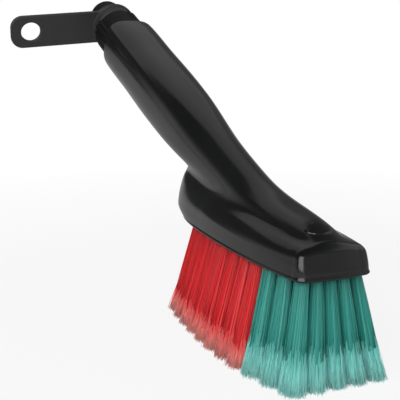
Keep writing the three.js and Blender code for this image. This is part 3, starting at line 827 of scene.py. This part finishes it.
# Materials
class Nodes:
    """Builds the nodes of one material or of the world."""

    def __init__(self, owner):
        owner.use_nodes = True
        self.owner = owner
        self.tree = owner.node_tree
        self.shader = self.tree.nodes.get("Principled BSDF") or self.tree.nodes.get("Background")

    def add(self, kind, **inputs):
        node = self.tree.nodes.new(kind)
        for name, value in inputs.items():
            self.feed(node.inputs[name.replace("_", " ")], value)
        return node

    def feed(self, socket, value):
        if isinstance(value, bpy.types.NodeSocket):
            self.tree.links.new(value, socket)
        else:
            socket.default_value = value

    def set(self, **inputs):
        for name, value in inputs.items():
            self.feed(self.shader.inputs[name.replace("_", " ")], value)

    def position(self):
        return self.add("ShaderNodeTexCoord").outputs["Object"]

    def noise(self, scale, detail, roughness=0.5):
        node = self.add("ShaderNodeTexNoise", Scale=scale, Detail=detail, Roughness=roughness)
        self.feed(node.inputs["Vector"], self.position())
        return node.outputs["Fac"]

    def ramp(self, value, *stops):
        node = self.add("ShaderNodeValToRGB", Fac=value)
        while len(node.color_ramp.elements) < len(stops):
            node.color_ramp.elements.new(0.5)
        for element, (place, colour) in zip(node.color_ramp.elements, stops):
            element.position = place
            element.color = (*colour, 1) if isinstance(colour, tuple) else (colour, colour, colour, 1)
        return node.outputs["Color"]

    def math(self, operation, a, b):
        node = self.add("ShaderNodeMath")
        node.operation = operation
        self.feed(node.inputs[0], a)
        self.feed(node.inputs[1], b)
        return node.outputs[0]

    def vector_math(self, operation, a, **inputs):
        node = self.add("ShaderNodeVectorMath")
        node.operation = operation
        self.feed(node.inputs[0], a)
        for name, value in inputs.items():
            self.feed(node.inputs[name], value)
        return node

    def mix(self, share, a, b):
        """Mixes two colours. Their sockets come after those for other kinds of value."""
        node = self.add("ShaderNodeMix")
        node.data_type = "RGBA"
        self.feed(node.inputs["Factor"], share)
        self.feed(node.inputs[6], a)
        self.feed(node.inputs[7], b)
        return node.outputs[2]

    def bump(self, height, distance):
        return self.add("ShaderNodeBump", Strength=1.0, Distance=distance, Height=height).outputs["Normal"]

    def light_path(self, ray):
        return self.add("ShaderNodeLightPath").outputs[ray]

    def seen_directly(self):
        """One where the camera sees the surface, also through something clear."""
        return self.math("MAXIMUM", self.light_path("Is Camera Ray"), self.light_path("Is Transmission Ray"))

    def show_instead(self, other, share):
        """Shows a share of another shader in place of the usual one."""
        blend = self.add("ShaderNodeMixShader", Fac=share)
        self.tree.links.new(self.shader.outputs[0], blend.inputs[1])
        self.tree.links.new(other.outputs[0], blend.inputs[2])
        output = next(node for node in self.tree.nodes if node.type.startswith("OUTPUT"))
        self.tree.links.new(blend.outputs[0], output.inputs["Surface"])


# The stretch that most of a noise lies in
NOISE_LOW = 0.3
NOISE_HIGH = 0.7


def moulded_plastic(name, dark, light, roughness, grain, grain_depth, shine=0.5):
    """Moulded plastic: slight cloudiness of colour and gloss, with a fine grain."""
    nodes = Nodes(bpy.data.materials.new(name))
    nodes.set(Specular_IOR_Level=shine)
    cloud = nodes.noise(scale=38, detail=4)
    nodes.set(Base_Color=nodes.ramp(cloud, (NOISE_LOW, dark), (NOISE_HIGH, light)))
    smear = nodes.noise(scale=90, detail=5, roughness=0.6)
    smooth, rough = roughness
    smear_high = 0.75
    nodes.set(Roughness=nodes.ramp(smear, (NOISE_LOW, smooth), (smear_high, rough)))
    nodes.set(Normal=nodes.bump(nodes.noise(scale=grain, detail=2), grain_depth))
    return nodes.owner


def fibre(name, root, stem, pale, tip, split):
    """Filaments: painted shade that darkens them towards the root, a plain stem, and pale split ends, a
    little different on each one.
    """
    nodes = Nodes(bpy.data.materials.new(name))
    # Share of the way from the root over which painted shade darkens the filaments, where shade falls among
    # them near the block
    root_shade_ends = 0.3
    pale_starts, pale_full = split - 0.14, split + 0.05
    shade_low, shade_range = 0.82, 0.36
    smooth, rough = 0.38, 0.55

    def stored(label):
        node = nodes.add("ShaderNodeAttribute")
        node.attribute_name = label
        return node.outputs["Fac"]

    along, shade = stored("along"), stored("shade")
    stem_colour = nodes.ramp(along, (0.0, root), (root_shade_ends, stem))
    hair_colour = nodes.ramp(along, (pale_starts, stem), (pale_full, pale), (1.0, tip))
    colour = nodes.mix(stored("feathered"), stem_colour, hair_colour)
    brightness = nodes.math("ADD", shade_low, nodes.math("MULTIPLY", shade, shade_range))
    varied = nodes.vector_math("SCALE", colour, Scale=brightness)
    nodes.set(Base_Color=varied.outputs[0], Roughness=nodes.ramp(shade, (0, smooth), (1, rough)))
    return nodes.owner


def wire_steel():
    """Drawn wire: fine streaks of colour and gloss."""
    nodes = Nodes(bpy.data.materials.new("staple_steel_look"))
    streak = nodes.noise(scale=900, detail=3)
    dark, light = (0.50, 0.51, 0.52), (0.66, 0.67, 0.68)
    nodes.set(Base_Color=nodes.ramp(streak, (NOISE_LOW, dark), (NOISE_HIGH, light)), Metallic=1.0)
    gloss = nodes.noise(scale=1500, detail=2)
    smooth, rough = 0.28, 0.42
    nodes.set(Roughness=nodes.ramp(gloss, (NOISE_LOW, smooth), (NOISE_HIGH, rough)))
    return nodes.owner


black_plastic = moulded_plastic(
    "black_plastic_look", dark=(0.0055, 0.0058, 0.006), light=(0.0085, 0.0088, 0.009),
    roughness=(0.11, 0.17), grain=2600, grain_depth=0.00002)
end_plastic = moulded_plastic(
    "end_plastic_look", dark=(0.0065, 0.0065, 0.0068), light=(0.010, 0.010, 0.0105),
    roughness=(0.42, 0.55), grain=1900, grain_depth=0.00005, shine=0.08)
strap_plastic = moulded_plastic(
    "strap_plastic_look", dark=(0.022, 0.022, 0.022), light=(0.029, 0.029, 0.029),
    roughness=(0.5, 0.62), grain=1900, grain_depth=0.00006)
# The root colours are painted shade, darker where the filaments go into the block
red_fibre = fibre(
    "red_fibre_look", root=(0.56, 0.013, 0.016), stem=(0.71, 0.018, 0.023), pale=(0.95, 0.18, 0.165),
    tip=(1.0, 0.46, 0.41), split=0.77)
green_fibre = fibre(
    "green_fibre_look", root=(0.025, 0.25, 0.21), stem=(0.034, 0.32, 0.27), pale=(0.22, 0.71, 0.65),
    tip=(0.45, 0.97, 0.91), split=0.683)
staple_steel = wire_steel()

for piece, look, slot, body_name in (
    (body, black_plastic, "black_plastic", "brush"),
    (collar, end_plastic, "black_plastic", "brush"),
    (tip, end_plastic, "black_plastic", "brush"),
    (green_plate, black_plastic, "black_plastic", "brush"),
    (red_plate, black_plastic, "black_plastic", "brush"),
    (green_filaments, green_fibre, "green_fibre", "brush"),
    (red_filaments, red_fibre, "red_fibre", "brush"),
    (strap, strap_plastic, "strap_plastic", "strap"),
):
    piece.data.materials.clear()
    piece.data.materials.append(look)
    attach(piece, body_name)

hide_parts("brush_body")
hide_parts("end_collar")
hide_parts("spigot_tip")
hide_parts("hang_strap")
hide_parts("green_bristles")
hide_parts("green_bristles")
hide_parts("red_bristles")
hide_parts("red_bristles")

for name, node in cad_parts.items():
    if name == "end_spigot":
        node.material_slots[0].material = end_plastic
    if name.startswith("tuft_staple"):
        node.material_slots[0].material = staple_steel

# Floor and light, in metres
FLOOR_HALF = 12
FLOOR_DROP = 0.0003


def pale_floor():
    """Pale matt floor that keeps the shadow. It is lifted towards white where the camera sees it, and far
    from the object a little where the object mirrors it."""
    nodes = Nodes(bpy.data.materials.new("pale_floor_look"))
    speck = nodes.noise(scale=60, detail=3)
    dark, light = (0.79, 0.79, 0.79), (0.81, 0.81, 0.81)
    nodes.set(Base_Color=nodes.ramp(speck, (NOISE_LOW, dark), (NOISE_HIGH, light)), Roughness=0.9)
    nodes.set(Specular_IOR_Level=0.0)
    glow = nodes.add("ShaderNodeEmission", Color=(1, 1, 1, 1), Strength=1.0)
    # How far each lift has got to white, as (distance from the middle, share)
    from_middle = nodes.vector_math("LENGTH", nodes.position()).outputs["Value"]
    seen_lift = nodes.ramp(from_middle, (0.2, 0.87), (0.6, 1.0))
    mirrored_lift = nodes.ramp(from_middle, (0.3, 0.0), (0.8, 0.3))
    seen = nodes.math("MULTIPLY", nodes.seen_directly(), seen_lift)
    mirrored = nodes.math("MULTIPLY", nodes.light_path("Is Glossy Ray"), mirrored_lift)
    nodes.show_instead(glow, nodes.math("ADD", seen, mirrored))
    return nodes.owner


floor_corners = [(x * FLOOR_HALF, y * FLOOR_HALF, 0) for x, y in ((-1, -1), (1, -1), (1, 1), (-1, 1))]
floor_mesh = bpy.data.meshes.new("floor")
floor_mesh.from_pydata(floor_corners, [], [(0, 1, 2, 3)])
floor = bpy.data.objects.new("floor", floor_mesh)
floor.location.z = -FLOOR_DROP
bpy.context.scene.collection.objects.link(floor)
floor_mesh.materials.append(pale_floor())


def studio_sky():
    """A dim room with soft panels to the left, behind, in front and to the right. The camera sees white."""
    nodes = Nodes(bpy.data.worlds.new("studio"))
    direction = nodes.add("ShaderNodeTexCoord").outputs["Generated"]
    height = nodes.add("ShaderNodeSeparateXYZ", Vector=direction).outputs["Z"]

    def panel(facing, edge, levels):
        """A panel round a direction, with a soft edge, whose level goes with height."""
        towards = nodes.vector_math("DOT_PRODUCT", direction)
        towards.inputs[1].default_value = facing
        within = nodes.ramp(towards.outputs["Value"], *edge)
        return nodes.math("MULTIPLY", within, nodes.ramp(height, *levels))

    left = panel(
        facing=(-0.559, -0.829, 0.0), edge=((0.86, 0.0), (0.94, 1.0)), levels=((0.05, 0.5), (0.35, 0.03)))
    back = panel(
        facing=(-0.914, 0.405, 0.0), edge=((0.93, 0.0), (0.97, 1.0)), levels=((0.2, 0.25), (0.4, 0.1)))
    front = panel(
        facing=(1.0, 0.0, 0.0), edge=((0.1, 0.0), (0.6, 1.0)), levels=((0.5, 0.32), (0.8, 0.1)))
    right = panel(
        facing=(0.0, 1.0, 0.0), edge=((0.5, 0.0), (0.95, 1.0)), levels=((0.0, 0.2), (0.8, 0.4)))
    level = nodes.ramp(height, (0.0, 0.07), (1.0, 0.05))
    for lit in (left, back, front, right):
        level = nodes.math("ADD", level, lit)
    nodes.set(Color=level)
    white = nodes.add("ShaderNodeBackground", Color=(1, 1, 1, 1))
    nodes.show_instead(white, nodes.seen_directly())
    return nodes.owner


bpy.context.scene.world = studio_sky()


def softbox(name, place, target, width, height, power, turn=0):
    """Soft rectangular lamp that faces a target, turned about that line by some degrees."""
    light = bpy.data.lights.new(name, "AREA")
    light.shape = "RECTANGLE"
    light.size, light.size_y, light.energy = width, height, power
    lamp = bpy.data.objects.new(name, light)
    lamp.location = place
    aim = (Vector(target) - Vector(place)).to_track_quat("-Z", "Y")
    lamp.rotation_euler = (aim @ Quaternion((0, 0, 1), math.radians(turn))).to_euler()
    bpy.context.scene.collection.objects.link(lamp)


softbox("key_softbox", (0.66, -0.80, 0.66), (0.0, 0.0, 0.03), width=1.3, height=1.1, power=14.5)
softbox("right_softbox", (0.1, 0.95, 0.85), (0.0, 0.0, 0.05), width=1.0, height=0.7, power=1.2)
softbox("rear_softbox", (-0.65, 0.02, 0.60), (-0.65, 0.02, 0.0), width=0.8, height=0.55, power=0.5, turn=44)
softbox("rear_fill", (-0.98, 0.36, 0.60), (-0.98, 0.36, 0.0), width=0.8, height=0.4, power=0.1, turn=44)
softbox("corner_strip", (1.0, -0.35, 0.15), (0.06, 0.0, 0.06), width=0.26, height=0.7, power=0.26)

# Camera, in millimetres
CAMERA_PLACE = (363.99, -200.17, 159.43)
CAMERA_FACING = (-0.896, 0.397, -0.1985)
CAMERA_LENS = 73.78
CAMERA_SENSOR = 36
CAMERA_NEAREST = 10

camera_data = bpy.data.cameras.new("photo_camera")
camera_data.sensor_width = CAMERA_SENSOR
camera_data.lens = CAMERA_LENS
camera_data.clip_start = CAMERA_NEAREST * MM
camera = bpy.data.objects.new("photo_camera", camera_data)
camera.location = Vector(CAMERA_PLACE) * MM
camera.rotation_euler = Vector(CAMERA_FACING).to_track_quat("-Z", "Y").to_euler()
bpy.context.scene.collection.objects.link(camera)
bpy.context.scene.camera = camera
bpy.context.scene.view_settings.view_transform = "Standard"
